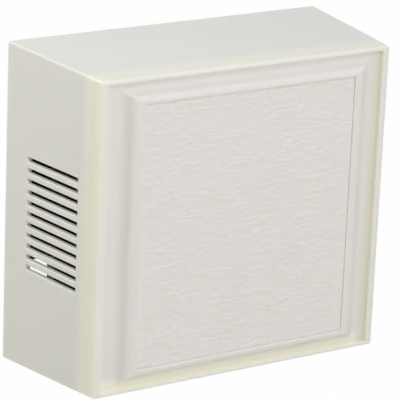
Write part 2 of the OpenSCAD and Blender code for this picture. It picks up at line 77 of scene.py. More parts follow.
camera_data = bpy.data.cameras.new("camera")
camera_data.lens = camera_lens
camera_data.sensor_width = camera_sensor
camera = placed("camera", camera_data)
camera.matrix_world = (
    Matrix.Translation(camera_place)
    @ Matrix.Rotation(math.radians(-camera_heading), 4, "Z")
    @ Matrix.Rotation(math.radians(90 - camera_dip), 4, "X")
    @ Matrix.Rotation(math.radians(camera_roll), 4, "Z"))
scene.camera = camera


def feed(node, inputs):
    """Fills a node's inputs; each source is a value, an output, or a node for its first output."""
    for socket, source in dict(inputs).items():
        if isinstance(source, bpy.types.Node):
            source = source.outputs[0]
        if isinstance(source, bpy.types.NodeSocket):
            node.id_data.links.new(source, node.inputs[socket])
        else:
            node.inputs[socket].default_value = source


def add_node(tree, kind, inputs=(), **settings):
    """Adds a node with its settings, then fills its inputs."""
    node = tree.nodes.new(kind)
    for name, value in settings.items():
        setattr(node, name, value)
    feed(node, inputs)
    return node


def calc(tree, operation, *sources):
    """One Math node on its sources."""
    return add_node(tree, "ShaderNodeMath", enumerate(sources), operation=operation)


def seen_directly(tree):
    """A mask that is 1 where the camera, a reflection or a transmission looks, and 0 for bounced light."""
    path = add_node(tree, "ShaderNodeLightPath").outputs
    seen = calc(tree, "MAXIMUM", path["Is Camera Ray"], path["Is Glossy Ray"])
    return calc(tree, "MAXIMUM", seen, path["Is Transmission Ray"])


def new_material(name):
    """A material with nodes; returns it with its tree and its shader."""
    material = bpy.data.materials.new(name)
    material.use_nodes = True
    return material, material.node_tree, material.node_tree.nodes["Principled BSDF"]


world = bpy.data.worlds.new("white_room")
scene.world = world
world.use_nodes = True
room = world.node_tree
room.nodes.clear()
room_glow = add_node(room, "ShaderNodeBackground", {"Color": room_color, "Strength": room_light})
room_white = add_node(room, "ShaderNodeBackground", {"Color": white})
room_mix = add_node(room, "ShaderNodeMixShader", {"Fac": seen_directly(room), 1: room_glow, 2: room_white})
add_node(room, "ShaderNodeOutputWorld", {"Surface": room_mix})

floor_mesh = bpy.data.meshes.new("floor")
floor_corners = [(x * floor_reach, y * floor_reach, -floor_drop)
                 for x, y in ((-1, -1), (1, -1), (1, 1), (-1, 1))]
floor_mesh.from_pydata(floor_corners, [], [(0, 1, 2, 3)])
floor = placed("floor", floor_mesh)
floor_paint, tree, floor_matt = new_material("pale_floor")
feed(floor_matt, {"Base Color": floor_color, "Roughness": floor_roughness})
floor_white = add_node(tree, "ShaderNodeEmission", {"Color": white})
floor_mix = add_node(tree, "ShaderNodeMixShader", {
    "Fac": calc(tree, "MULTIPLY", seen_directly(tree), floor_whiteness),
    1: floor_matt, 2: floor_white})
feed(tree.nodes["Material Output"], {"Surface": floor_mix})
floor_mesh.materials.append(floor_paint)


def soft_lamp(name, place, size, power, color):
    """A square softbox that faces the chime."""
    lamp_data = bpy.data.lights.new(name, "AREA")
    lamp_data.size = size
    lamp_data.energy = power
    lamp_data.color = color
    lamp = placed(name, lamp_data)
    lamp.location = place
    lamp.rotation_euler = (-Vector(place)).to_track_quat("-Z", "Y").to_euler()


soft_lamp("front_softbox", (-0.06, -0.74, 0.38), 0.9, 4.2, (1.0, 0.995, 0.985))
soft_lamp("top_softbox", (0.25, -0.32, 0.75), 0.9, 1.05, (0.985, 0.99, 1.0))
soft_lamp("side_softbox", (-0.42, 0.13, 0.36), 0.5, 1.42, (1.0, 0.995, 0.95))
soft_lamp("left_softbox", (-1.4, 0.7, 0.3), 0.8, 1.3, (1.0, 0.995, 0.95))

# The cover: one injection moulding in ivory plastic, 2.5 mm thick, with leaning walls, eleven sound slots
# in each side, a round-bottomed trough and a raised frame. The mould leaves every edge slightly rounded.
# Light scatters into the thin edges at the front, and a paler, yellower ivory is painted there and low in the
# trough as a painted glow. A darker, yellower ivory is painted at the right of the trough as painted shade.
cover_w, cover_h, cover_d = 153 * mm, 138 * mm, 64.5 * mm
side_draft, end_draft = 6.5 * mm, 2.5 * mm
wall_t = 2.5 * mm
back_y = -0.4 * mm
rim_y = -cover_d
rim_round = 0.8 * mm
trough_outer = (67 * mm, 64.7 * mm)
trough_y = rim_y + 1.6 * mm
cove = (1.2 * mm, 0.8 * mm)
lip_y = rim_y - 3 * mm
face_half = (53.1 * mm, 56.8 * mm)
slope_run = (8.6 * mm, 6.1 * mm)
lip_round = (4.8 * mm, 3 * mm)
window_half = (51.2 * mm, 56.1 * mm)
panel_back_y = -64.7 * mm
ledge_w = 3 * mm
soft_edge = 0.35 * mm
outer_corner, trough_corner, frame_corner, inner_corner = 0.9 * mm, 0.35 * mm, 0.45 * mm, 0.3 * mm
vent_n, vent_pitch, vent_h, vent_z = 11, 4.65 * mm, 2 * mm, -0.7 * mm
vent_back_y, vent_front_y = -15.5 * mm, -50 * mm
vent_edge = 0.5 * mm
ivory = (0.80, 0.795, 0.765, 1)
# A paler, yellower ivory, painted where light shines through thin plastic: a painted glow.
ivory_painted_glow = (0.91, 0.895, 0.765, 1)
ivory_front = (0.80, 0.782, 0.769, 1)
# A darker, yellower ivory, painted at the right of the trough as painted shade.
ivory_painted_shade = (0.735, 0.725, 0.62, 1)
thin_from, thin_full = rim_y + 14 * mm, rim_y + 8 * mm
front_from, front_full = rim_y + 2.6 * mm, rim_y + 1.7 * mm
rim_from, rim_full = rim_y + 0.2 * mm, rim_y + 1.2 * mm
frame_from, frame_full = trough_y + 1 * mm, trough_y + 0.3 * mm
trough_from, trough_full = rim_y + 0.1 * mm, rim_y + 1.3 * mm
painted_shade_from, painted_shade_full = trough_outer[0] - 6.5 * mm, trough_outer[0] - 1 * mm
# The painted glow in the trough grows from this height towards the bottom.
painted_glow_from, painted_glow_full = 6 * mm - trough_outer[1], 3 * mm - trough_outer[1]
thin_end_share, painted_glow_strength = 0.55, 0.85
scatter_thick, scatter_thin_more = 1.6 * mm, 2.4 * mm
mottle_scale, grain_scale, grain_depth = 45, 2600, 0.04 * mm


def outer_half(y):
    """Half of the cover's width and height outside, at a depth."""
    return cover_w / 2 + side_draft * y / cover_d, cover_h / 2 + end_draft * y / cover_d


def inner_half(y):
    """Half of the cover's width and height inside, at a depth."""
    return tuple(half - wall_t for half in outer_half(y))


def cover_stations():
    """The closed profile of the moulding: half width, half height, depth and corner radius of each ring."""
    rings = []

    def ring(halves, y, corner):
        rings.append((halves[0], halves[1], y, corner))

    def moved(halves, out):
        return tuple(half + out for half in halves)

    quarter = [math.radians(step) for step in (0, 18, 36, 54, 72, 90)]
    for turn in quarter:
        y = back_y - soft_edge * (1 - math.cos(turn))
        ring(moved(outer_half(y), soft_edge * (math.sin(turn) - 1)), y, outer_corner)
    ring(outer_half(vent_back_y), vent_back_y, outer_corner)
    ring(outer_half(vent_front_y), vent_front_y, outer_corner)
    for turn in quarter:
        y = rim_y + rim_round * (1 - math.sin(turn))
        ring(moved(outer_half(rim_y), rim_round * (math.cos(turn) - 1)), y, outer_corner)
    for turn in quarter:
        y = rim_y + soft_edge * (1 - math.cos(turn))
        ring(moved(trough_outer, soft_edge * (1 - math.sin(turn))), y, trough_corner)

    def cove_half(y, axis):
        """The trough's outer wall and the round at its foot."""
        below = max(0.0, y - (trough_y - cove[axis]))
        return trough_outer[axis] - cove[axis] + math.sqrt(max(0.0, cove[axis] ** 2 - below ** 2))

    rise = trough_y - lip_y
    steepest = [2 * math.atan2(rise, run) for run in slope_run]
    hollow = [slope_run[axis] / math.sin(steepest[axis]) - lip_round[axis] for axis in (0, 1)]

    def slope_half(y, axis):
        """The ogee slope between the trough and the frame's face: a hollow, then a rounded edge."""
        down, up = y - lip_y, trough_y - y
        if down < lip_round[axis] * (1 - math.cos(steepest[axis])):
            return face_half[axis] + math.sqrt(lip_round[axis] ** 2 - (lip_round[axis] - down) ** 2)
        return face_half[axis] + slope_run[axis] - math.sqrt(hollow[axis] ** 2 - (hollow[axis] - up) ** 2)

    shares = [step / 8 for step in range(9)]
    digits = 7
    wall_depths = {round(trough_y - r * (1 - math.sin(share * math.pi / 2)), digits)
                   for r in cove for share in shares}
    for y in sorted(wall_depths):
        ring([cove_half(y, axis) for axis in (0, 1)], y, trough_corner)
    slope_depths = set()
    for axis in (0, 1):
        for share in shares:
            fall = 1 - math.cos(share * steepest[axis])
            slope_depths |= {round(lip_y + lip_round[axis] * fall, digits),
                             round(trough_y - hollow[axis] * fall, digits)}
    for y in sorted(slope_depths, reverse=True):
        ring([slope_half(y, axis) for axis in (0, 1)], y, frame_corner)
    for turn in quarter:
        y = lip_y + soft_edge * (1 - math.cos(turn))
        ring(moved(window_half, soft_edge * (1 - math.sin(turn))), y, inner_corner)
    ring(window_half, panel_back_y, inner_corner)
    ring(moved(window_half, -ledge_w), panel_back_y, inner_corner)
    ring(moved(window_half, -ledge_w), panel_back_y + wall_t, inner_corner)
    for y in (panel_back_y, panel_back_y + 0.8 * mm, panel_back_y + 1.6 * mm, trough_y):
        ring([slope_half(y, axis) - wall_t for axis in (0, 1)], y + wall_t, inner_corner)
    for y in (trough_y + wall_t, vent_front_y, vent_back_y):
        ring(inner_half(y), y, inner_corner)
    for turn in quarter:
        y = back_y - soft_edge * (1 - math.sin(turn))
        ring(moved(inner_half(y), soft_edge * (1 - math.cos(turn))), y, inner_corner)
    return rings


def smooth_mesh(name, shape):
    """Keeps a shape as a smoothly shaded mesh with its faces outwards."""
    bmesh.ops.recalc_face_normals(shape, faces=shape.faces)
    mesh = bpy.data.meshes.new(name)
    shape.to_mesh(mesh)
    shape.free()
    mesh.shade_smooth()
    return mesh


def cover_mesh():
    """Joins the rings into a shell, leaves the slots open and lines them."""
    slot_middles = [vent_z + (i - (vent_n - 1) / 2) * vent_pitch for i in range(vent_n)]
    slot_lines = [middle + end * vent_h / 2 for middle in slot_middles for end in (-1, 1)]
    fan = [math.radians(step) for step in (0, 30, 60, 90)]
    shape = bmesh.new()
    crease = shape.edges.layers.float.new("bevel_weight_edge")
    rows = []
    stations = cover_stations()
    for half_x, half_z, y, corner in stations:
        row = []
        for side_x, side_z, start in ((1, -1, -90), (1, 1, 0), (-1, 1, 90), (-1, -1, 180)):
            for turn in fan:
                angle = turn + math.radians(start)
                row.append((side_x * (half_x - corner) + corner * math.cos(angle), y,
                            side_z * (half_z - corner) + corner * math.sin(angle)))
            if (side_x, side_z) == (1, -1):
                row += [(half_x, y, z) for z in slot_lines]
            if (side_x, side_z) == (-1, 1):
                row += [(-half_x, y, z) for z in reversed(slot_lines)]
        rows.append([shape.verts.new(point) for point in row])
    count = len(rows[0])
    first_right = len(fan)
    first_left = 3 * len(fan) + len(slot_lines)
    open_columns = {first + 2 * i for first in (first_right, first_left) for i in range(vent_n)}
    slot_rows = [i for i, station in enumerate(stations) if station[2] in (vent_back_y, vent_front_y)]
    for i, row in enumerate(rows):
        after = rows[(i + 1) % len(rows)]
        cut = i in (slot_rows[0], slot_rows[2])
        for k in range(count):
            if cut and k in open_columns:
                continue
            shape.faces.new((row[k], row[(k + 1) % count], after[(k + 1) % count], after[k]))
    for k in open_columns:
        mouth, inside = ([rows[back][k], rows[back][k + 1], rows[front][k + 1], rows[front][k]]
                         for back, front in ((slot_rows[0], slot_rows[1]), (slot_rows[3], slot_rows[2])))
        for j in range(4):
            shape.faces.new((mouth[j], inside[j], inside[(j + 1) % 4], mouth[(j + 1) % 4]))
        for j in range(4):
            for a, b in ((mouth[j], mouth[j - 1]), (inside[j], inside[j - 1]), (mouth[j], inside[j])):
                shape.edges.get((a, b))[crease] = 1.0
    return smooth_mesh("cover_shell", shape)


def as_plain_mesh(piece):
    """Turns the piece and its modifiers into one plain mesh."""
    shown = piece.evaluated_get(bpy.context.evaluated_depsgraph_get())
    done = bpy.data.meshes.new_from_object(shown)
    done.name = piece.name
    piece.modifiers.clear()
    piece.data = done


def rounded_edges(piece, radius, segments):
    """Rounds the edges that carry a bevel weight."""
    bevel = piece.modifiers.new("rounded_edges", "BEVEL")
    bevel.limit_method = "WEIGHT"
    bevel.width = radius
    bevel.segments = segments
    return bevel


def even_shading(piece):
    """Keeps wide flat faces flat beside their small rounded edges."""
    weighted = piece.modifiers.new("even_shading", "WEIGHTED_NORMAL")
    weighted.mode = "FACE_AREA"
    weighted.weight = 50
    weighted.use_face_influence = True


def object_place(tree):
    """A point's place on the finished piece."""
    return add_node(tree, "ShaderNodeTexCoord").outputs["Object"]


def noise_at(tree, vector, detail, scale=1.0):
    """Smooth noise from 0 to 1 at a place."""
    return add_node(tree, "ShaderNodeTexNoise", {"Vector": vector, "Detail": detail, "Scale": scale})


def blend_of(tree, factor, a, b):
    """A mix of two colours."""
    return add_node(tree, "ShaderNodeMix", {"Factor": factor, "A": a, "B": b},
                    data_type="RGBA").outputs["Result"]


def split_of(tree, vector):
    """The three parts of a vector, named X, Y and Z."""
    return add_node(tree, "ShaderNodeSeparateXYZ", {0: vector}).outputs


def eased_step(tree, value, low, high):
    """A smooth step from 0 at low to 1 at high."""
    return add_node(tree, "ShaderNodeMapRange", {"Value": value, "From Min": low, "From Max": high},
                    interpolation_type="SMOOTHSTEP")


def open_tree(name, family, given, made):
    """A new tree with inputs and outputs, named under their kinds; returns it with its inputs and its end."""
    tree = bpy.data.node_groups.new(name, family)
    for in_out, kinds in (("INPUT", given), ("OUTPUT", made)):
        for kind, labels in kinds.items():
            for label in labels:
                tree.interface.new_socket(label, in_out=in_out, socket_type="NodeSocket" + kind)
    return tree, tree.nodes.new("NodeGroupInput").outputs, tree.nodes.new("NodeGroupOutput")


def surface_group(name, **given):
    """Opens a shader group that puts out a colour, a roughness and a normal."""
    made = {"Color": ["Color"], "Float": ["Roughness"], "Vector": ["Normal"]}
    return open_tree(name, "ShaderNodeTree", given, made)


def moulded_skin_group():
    """Faint mottling and the fine grain that a mould leaves on plastic."""
    group, source, result = surface_group(
        "moulded_skin", Color=["Color"], Float=["Mottle", "Grain", "Roughness"])
    place = object_place(group)
    swing = calc(group, "MULTIPLY", noise_at(group, place, 3.0, mottle_scale), source["Mottle"])
    shade = add_node(group, "ShaderNodeHueSaturation", {
        "Color": source["Color"], "Value": calc(group, "SUBTRACT", 1.0, swing)})
    bump = add_node(group, "ShaderNodeBump", {
        "Distance": grain_depth, "Strength": source["Grain"],
        "Height": noise_at(group, place, 2.0, grain_scale)})
    rough = calc(group, "ADD", source["Roughness"], swing)
    feed(result, {"Color": shade, "Normal": bump, "Roughness": rough})
    return group


def surfaced(name, group, values):
    """A material with a surface group; returns the material, its shader and the group's node."""
    material, tree, shader = new_material(name)
    skin = add_node(tree, "ShaderNodeGroup", values, node_tree=group)
    feed(shader, {"Base Color": skin.outputs["Color"], "Roughness": skin.outputs["Roughness"],
                  "Normal": skin.outputs["Normal"]})
    return material, shader, skin


moulded_skin = moulded_skin_group()


def plastic(name, color, roughness, mottle=0.03, grain=0.25):
    """A moulded plastic with the shared skin."""
    return surfaced(name, moulded_skin, {
        "Color": color, "Roughness": roughness, "Mottle": mottle, "Grain": grain})


cover = placed("cover_shell", cover_mesh())
rounded_edges(cover, vent_edge, 3)
even_shading(cover)
as_plain_mesh(cover)
cover_plastic, cover_shader, cover_skin = plastic("ivory_plastic", ivory, 0.42)
tree = cover_plastic.node_tree
spot = split_of(tree, object_place(tree))
reach = {axis: calc(tree, "ABSOLUTE", spot[axis]) for axis in "XZ"}
thin_depth = eased_step(tree, spot["Y"], thin_from, thin_full)
in_front = eased_step(tree, spot["Y"], front_from, front_full)
thin_side, thin_end = (
    eased_step(tree, calc(tree, "MULTIPLY_ADD", in_front, outer - (trough - 0.4 * mm), reach[axis]),
               outer - 1 * mm, outer - 0.3 * mm)
    for axis, outer, trough in zip("XZ", outer_half(rim_y), trough_outer))
thin_wall = calc(tree, "MULTIPLY", thin_depth,
                 calc(tree, "MAXIMUM", thin_side, calc(tree, "MULTIPLY", thin_end, thin_end_share)))
# Painted glow: the thin rim edges at the front, and the trough low down, get the paler ivory.
painted_glow_edge = calc(tree, "MULTIPLY", eased_step(tree, spot["Y"], rim_from, rim_full), thin_wall)
in_frame = eased_step(tree, spot["Y"], frame_from, frame_full)
for axis, edge in zip("XZ", trough_outer):
    in_frame = calc(tree, "MULTIPLY", in_frame, eased_step(tree, reach[axis], edge + 0.6 * mm, edge))
in_trough = calc(tree, "MULTIPLY", in_frame, eased_step(tree, spot["Y"], trough_from, trough_full))
# Painted shade: the trough is painted darker and yellower towards its right side.
painted_shade_right = eased_step(tree, spot["X"], painted_shade_from, painted_shade_full)
painted_glow_low = calc(tree, "MULTIPLY", painted_glow_strength, eased_step(tree, spot["Z"], painted_glow_from, painted_glow_full))
painted_glow_share = calc(tree, "MAXIMUM", painted_glow_edge, calc(tree, "MULTIPLY", in_trough, painted_glow_low))
cover_tone = blend_of(tree, painted_glow_share, blend_of(tree, in_frame, ivory, ivory_front), ivory_painted_glow)
cover_tone = blend_of(tree, calc(tree, "MULTIPLY", in_trough, painted_shade_right), cover_tone, ivory_painted_shade)
feed(cover_skin, {"Color": cover_tone})
feed(cover_shader, {
    "Specular IOR Level": 0.35, "Subsurface Weight": 0.8, "Subsurface Radius": (1.0, 0.95, 0.8),
    "Subsurface Scale": calc(tree, "MULTIPLY_ADD", thin_wall, scatter_thin_more, scatter_thick)})
cover.data.materials.append(cover_plastic)
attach(cover, "cover")
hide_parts("cover")

# The front panel: a thin plastic insert pressed onto a ledge inside the raised frame, a little whiter than
# the shell. Its face is embossed like coarse linen: short uneven ridges that are steeper above than below,
# with patches where they are weaker and faint upright strokes across them.
panel_low, panel_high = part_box("front_panel")
panel_white = (0.79, 0.769, 0.757, 1)
panel_relief = 0.42 * mm
panel_edge = 0.15 * mm
panel_snug = 0.12 * mm
panel_cell = (0.5 * mm, 0.26 * mm)
border_w, border_level = 0.9 * mm, 0.7
ridges_along, ridges_up = 0.19 / mm, 0.56 / mm
ridge_step, ridge_lean = (0.32, 0.62), -1.7
drift_scale, drift_share = (0.07 / mm, 0.07 / mm), 0.7
patch_scale, patch_step, patch_share = (0.07 / mm, 0.12 / mm), (0.38, 0.60), 0.6
weft_scale, weft_step, weft_share = (0.5 / mm, 0.2 / mm), (0.4, 0.7), 0.22
touching = 0.001 * mm


def shape_tree(name, floats, **others):
    """Opens a Geometry Nodes tree with inputs for a piece's sizes and its material."""
    given = {"Geometry": ["Geometry"], "Float": floats, **others, "Material": ["Material"]}
    return open_tree(name, "GeometryNodeTree", given, {"Geometry": ["Geometry"]})


def finish_tree(tree, size, result, geometry):
    """The common end of a tree: smooth shading, real geometry and the piece's material."""
    shade = add_node(tree, "GeometryNodeSetShadeSmooth", {"Geometry": geometry, "Shade Smooth": True})
    real = add_node(tree, "GeometryNodeRealizeInstances", {"Geometry": shade})
    paint = add_node(tree, "GeometryNodeSetMaterial", {"Geometry": real, "Material": size["Material"]})
    feed(result, {"Geometry": paint})
    return tree


def grown(name, tree, values, points=(), edges=()):
    """Makes a piece with a tree: sets the tree's inputs, then keeps the result as a plain mesh."""
    mesh = bpy.data.meshes.new(name)
    mesh.from_pydata(points, edges, [])
    piece = placed(name, mesh)
    modifier = piece.modifiers.new(tree.name, "NODES")
    modifier.node_group = tree
    for socket in tree.interface.items_tree:
        if socket.in_out == "INPUT" and socket.name in values:
            modifier[socket.identifier] = values[socket.name]
    as_plain_mesh(piece)
    shape = bmesh.new()
    shape.from_mesh(piece.data)
    bmesh.ops.remove_doubles(shape, verts=shape.verts, dist=touching)
    bmesh.ops.recalc_face_normals(shape, faces=shape.faces)
    shape.to_mesh(piece.data)
    shape.free()
    return piece


def vector_of(tree, x, y, z):
    """Combines three numbers or outputs into a vector."""
    return add_node(tree, "ShaderNodeCombineXYZ", enumerate((x, y, z)))


def point_place(tree):
    """The place of each point of the geometry."""
    return add_node(tree, "GeometryNodeInputPosition")


def set_place(tree, geometry, **places):
    """Moves points to a Position or by an Offset."""
    return add_node(tree, "GeometryNodeSetPosition", {"Geometry": geometry, **places})


def embossed_panel_tree():
    """A plate with an embossed face, a rounded edge and a flat back, standing on its middle point."""
    tree, size, result = shape_tree("embossed_panel", (
        "Width", "Height", "Thickness", "Edge", "Relief", "Cell Across", "Cell Up"))
    face_w, face_h = (calc(tree, "SUBTRACT", size[side], calc(tree, "MULTIPLY", size["Edge"], 2.0))
                      for side in ("Width", "Height"))
    grid = add_node(tree, "GeometryNodeMeshGrid", {
        "Size X": face_w, "Vertices X": calc(tree, "DIVIDE", face_w, size["Cell Across"]),
        "Size Y": face_h, "Vertices Y": calc(tree, "DIVIDE", face_h, size["Cell Up"])})
    stand = add_node(tree, "GeometryNodeTransform", {"Geometry": grid, "Rotation": (math.radians(90), 0, 0)})
    spot = split_of(tree, point_place(tree))

    def face_noise(scale, layer, detail=1.0):
        """Noise over the face with its own scale across and up; layer keeps it apart from the others."""
        return noise_at(tree, vector_of(tree, calc(tree, "MULTIPLY", spot["X"], scale[0]), layer,
                                        calc(tree, "MULTIPLY", spot["Z"], scale[1])), detail)

    drift = face_noise(drift_scale, 4.0, 2.0)
    bent = calc(tree, "MULTIPLY_ADD", drift, drift_share, calc(tree, "MULTIPLY", spot["Z"], ridges_up))
    along = calc(tree, "MULTIPLY", spot["X"], ridges_along)
    lean = calc(tree, "SUBTRACT", noise_at(tree, vector_of(tree, along, 0.0, bent), 1.0), 0.5)
    skewed = calc(tree, "MULTIPLY_ADD", lean, ridge_lean, bent)
    ridge = eased_step(tree, noise_at(tree, vector_of(tree, along, 0.0, skewed), 1.0), *ridge_step)
    patch = eased_step(tree, face_noise(patch_scale, 17.0), *patch_step)
    weft = eased_step(tree, face_noise(weft_scale, 9.0), *weft_step)
    crest = calc(tree, "MULTIPLY", ridge, calc(tree, "MULTIPLY_ADD", patch, patch_share, 1 - patch_share))
    height = calc(tree, "MULTIPLY_ADD", weft, weft_share, crest)
    inset_x, inset_z = (
        calc(tree, "SUBTRACT", calc(tree, "MULTIPLY", face, 0.5), calc(tree, "ABSOLUTE", spot[axis]))
        for face, axis in ((face_w, "X"), (face_h, "Z")))
    inland = eased_step(tree, calc(tree, "MINIMUM", inset_x, inset_z), 0.0, border_w)
    above_border = calc(tree, "MULTIPLY", calc(tree, "SUBTRACT", height, border_level), inland)
    fall = calc(tree, "MULTIPLY", calc(tree, "SUBTRACT", 1 - border_level, above_border), size["Relief"])
    geometry = set_place(tree, stand, Offset=vector_of(tree, 0.0, fall, 0.0))

    neighbours = add_node(tree, "GeometryNodeInputMeshEdgeNeighbors")
    on_border = add_node(tree, "FunctionNodeCompare", {2: neighbours, 3: 1},
                         data_type="INT", operation="EQUAL")

    def next_ring(geometry, depth, stretch_x, stretch_z):
        """Extrudes the open border once and moves the new border to its depth and size."""
        grow = add_node(tree, "GeometryNodeExtrudeMesh", {
            "Mesh": geometry, "Selection": on_border, "Offset Scale": 0.0}, mode="EDGES")
        here = split_of(tree, point_place(tree))
        place = vector_of(tree, calc(tree, "MULTIPLY", here["X"], stretch_x), depth,
                          calc(tree, "MULTIPLY", here["Z"], stretch_z))
        return set_place(tree, grow, Selection=grow.outputs["Top"], Position=place)

    border_depth = calc(tree, "MULTIPLY", size["Relief"], 1 - border_level)
    wide, tall = face_w, face_h
    for turn in (math.radians(step) for step in (30, 60, 90)):
        wider, taller = (calc(tree, "MULTIPLY_ADD", size["Edge"], 2 * math.sin(turn), face)
                         for face in (face_w, face_h))
        depth = calc(tree, "MULTIPLY_ADD", size["Edge"], 1 - math.cos(turn), border_depth)
        geometry = next_ring(geometry, depth, calc(tree, "DIVIDE", wider, wide),
                             calc(tree, "DIVIDE", taller, tall))
        wide, tall = wider, taller
    geometry = next_ring(geometry, size["Thickness"], 1.0, 1.0)
    geometry = next_ring(geometry, size["Thickness"], 0.0, 0.0)
    close = add_node(tree, "GeometryNodeMergeByDistance", {"Geometry": geometry, "Distance": touching})
    return finish_tree(tree, size, result, close)


panel_plastic, panel_shader, _ = plastic("embossed_plastic", panel_white, 0.5, mottle=0.04, grain=0.35)
feed(panel_shader, {"Specular IOR Level": 0.3})
panel = grown("embossed_panel", embossed_panel_tree(), {
    "Width": panel_high[0] - panel_low[0] + 2 * panel_snug,
    "Height": panel_high[2] - panel_low[2] + 2 * panel_snug,
    "Thickness": panel_high[1] - panel_low[1], "Edge": panel_edge, "Relief": panel_relief,
    "Cell Across": panel_cell[0], "Cell Up": panel_cell[1], "Material": panel_plastic})
panel.data.transform(Matrix.Translation((0, panel_low[1], 0)))
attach(panel, "cover")
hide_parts("front_panel")

# The base: a black moulding that is screwed to the wall. It carries the shelves for the tone bars, hooks for
# the solenoid frames, pegs for the terminals and four tongues that the cover slides over.
base_black = (0.018, 0.018, 0.019, 1)
sharp_edge, nearly_flat = math.radians(40), math.radians(0.5)


def softened_copy(node, name, radius):
    """A merged copy of a CAD node whose sharp edges are slightly rounded."""
    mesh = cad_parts[node].data.copy()
    mesh.name = name
    mesh.materials.clear()
    shape = bmesh.new()
    shape.from_mesh(mesh)
    bmesh.ops.remove_doubles(shape, verts=shape.verts, dist=2 * touching)
    bmesh.ops.dissolve_limit(shape, angle_limit=nearly_flat, verts=shape.verts, edges=shape.edges)
    weight = shape.edges.layers.float.new("bevel_weight_edge")
    for edge in shape.edges:
        if len(edge.link_faces) == 2 and edge.calc_face_angle(0) > sharp_edge:
            edge[weight] = 1.0
    shape.to_mesh(mesh)
    shape.free()
    mesh.shade_smooth()
    piece = placed(name, mesh)
    rounded_edges(piece, radius, 2).face_strength_mode = "FSTR_ALL"
    even_shading(piece)
    as_plain_mesh(piece)
    return piece


def settle(piece, material, body, node):
    """Gives a finished piece its material and its place in the frame."""
    if not piece.data.materials:
        piece.data.materials.append(material)
    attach(piece, body)
    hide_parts(node)


def soften_on_base(node, name, radius, material):
    """Puts a softened copy in the place of a CAD node on the base."""
    settle(softened_copy(node, name, radius), material, "base", node)


base_plastic, base_shader, _ = plastic("black_plastic", base_black, 0.45, mottle=0.12, grain=0.5)
feed(base_shader, {"Specular IOR Level": 0.4})
soften_on_base("base_plate", "base_moulding", 0.25 * mm, base_plastic)

# The tone bars: two flat strips of plated steel, one high and one low, that ring when a plunger strikes
# them. The plating keeps the streaks of the rolled strip and has dulled a little.
tone_steel_color = (0.60, 0.59, 0.56, 1)
tone_steel_dull = (0.36, 0.33, 0.28, 1)
tarnish_scale, tarnish_step = 70, (0.42, 0.72)
streak_depth = 0.02 * mm


def rolled_metal_group():
    """Streaks along the strip or the turning, and a thin cloudy tarnish."""
    group, source, result = surface_group(
        "rolled_metal", Color=["Color", "Tarnish"], Vector=["Stretch"],
        Float=["Share", "Roughness", "Streak"])
    place = object_place(group)
    drawn = add_node(group, "ShaderNodeMapping", {"Vector": place, "Scale": source["Stretch"]})
    streak = noise_at(group, drawn, 4.0)
    cloud = eased_step(group, noise_at(group, place, 5.0, tarnish_scale), *tarnish_step)
    dull = calc(group, "MULTIPLY", cloud, source["Share"])
    swing = calc(group, "MULTIPLY", calc(group, "SUBTRACT", streak, 0.5), source["Streak"])
    shade = add_node(group, "ShaderNodeHueSaturation", {
        "Color": blend_of(group, dull, source["Color"], source["Tarnish"]),
        "Value": calc(group, "MULTIPLY_ADD", swing, 0.8, 1.0)})
    rough = calc(group, "MULTIPLY_ADD", dull, 0.25, source["Roughness"])
    bump = add_node(group, "ShaderNodeBump", {
        "Distance": streak_depth, "Strength": source["Streak"], "Height": streak})
    rough = calc(group, "MULTIPLY_ADD", swing, 0.4, rough)
    feed(result, {"Color": shade, "Normal": bump, "Roughness": rough})
    return group


rolled_metal = rolled_metal_group()


def metal(name, color, tarnish, roughness, stretch, share=0.35, streak=0.35):
    """A metal with the shared streaks and tarnish; stretch is streaks to the metre along X, Y and Z."""
    material, shader, _ = surfaced(name, rolled_metal, {
        "Color": color, "Tarnish": tarnish, "Share": share, "Roughness": roughness, "Streak": streak,
        "Stretch": stretch})
    feed(shader, {"Metallic": 1.0})
    return material, shader


tone_steel, _ = metal("plated_tone_bar", tone_steel_color, tone_steel_dull, 0.26, (250, 5000, 5000))
for node in ("upper_tone_bar", "lower_tone_bar"):
    soften_on_base(node, node + "_strip", 0.3 * mm, tone_steel)

# The grommets: four soft rubber rings that hold the bars at their still points, so that they ring freely.
# Each is moulded with a flange on both sides of the bar and turned a little as it was pushed in.
axis_y = -16.1 * mm
bar_places = [(x * 31.993 * mm, axis_y, z * 50 * mm) for x in (-1, 1) for z in (-1, 1)]
rubber_brown = (0.085, 0.062, 0.045, 1)


def softened(profile, radius):
    """Rounds the corners of a closed profile, but leaves the points on the axis."""
    done = []
    for i, (r, z) in enumerate(profile):
        here = Vector((r, z))
        before = Vector(profile[i - 1]) - here
        after = Vector(profile[(i + 1) % len(profile)]) - here
        cut = min(radius, 0.45 * before.length, 0.45 * after.length)
        if r == 0 or cut == 0:
            done.append(here)
            continue
        start = here + before.normalized() * cut
        end = here + after.normalized() * cut
        for t in (0.0, 0.25, 0.5, 0.75, 1.0):
            done.append(start * (1 - t) ** 2 + here * 2 * t * (1 - t) + end * t ** 2)
    return done


def turned(name, profile, x=0.0, y=0.0, steps=48):
    """Turns a closed profile of radii and heights about an upright axis."""
    shape = bmesh.new()
    rows = []
    for step in range(steps):
        angle = 2 * math.pi * step / steps
        rows.append([shape.verts.new((x + r * math.cos(angle), y + r * math.sin(angle), z))
                     for r, z in profile])
    for step in range(steps):
        row, after = rows[step], rows[(step + 1) % steps]
        for i in range(len(profile)):
            j = (i + 1) % len(profile)
            shape.faces.new((row[i], row[j], after[j], after[i]))
    bmesh.ops.remove_doubles(shape, verts=shape.verts, dist=touching)
    bmesh.ops.dissolve_degenerate(shape, edges=shape.edges, dist=touching / 2)
    piece = placed(name, smooth_mesh(name, shape))
    even_shading(piece)
    as_plain_mesh(piece)
    return piece


def in_mm(points):
    """Points given in millimetres, as metres."""
    return [tuple(value * mm for value in point) for point in points]


def scaled(tree, vector, factor):
    """A vector times a number."""
    return add_node(tree, "ShaderNodeVectorMath", {0: vector, "Scale": factor}, operation="SCALE")


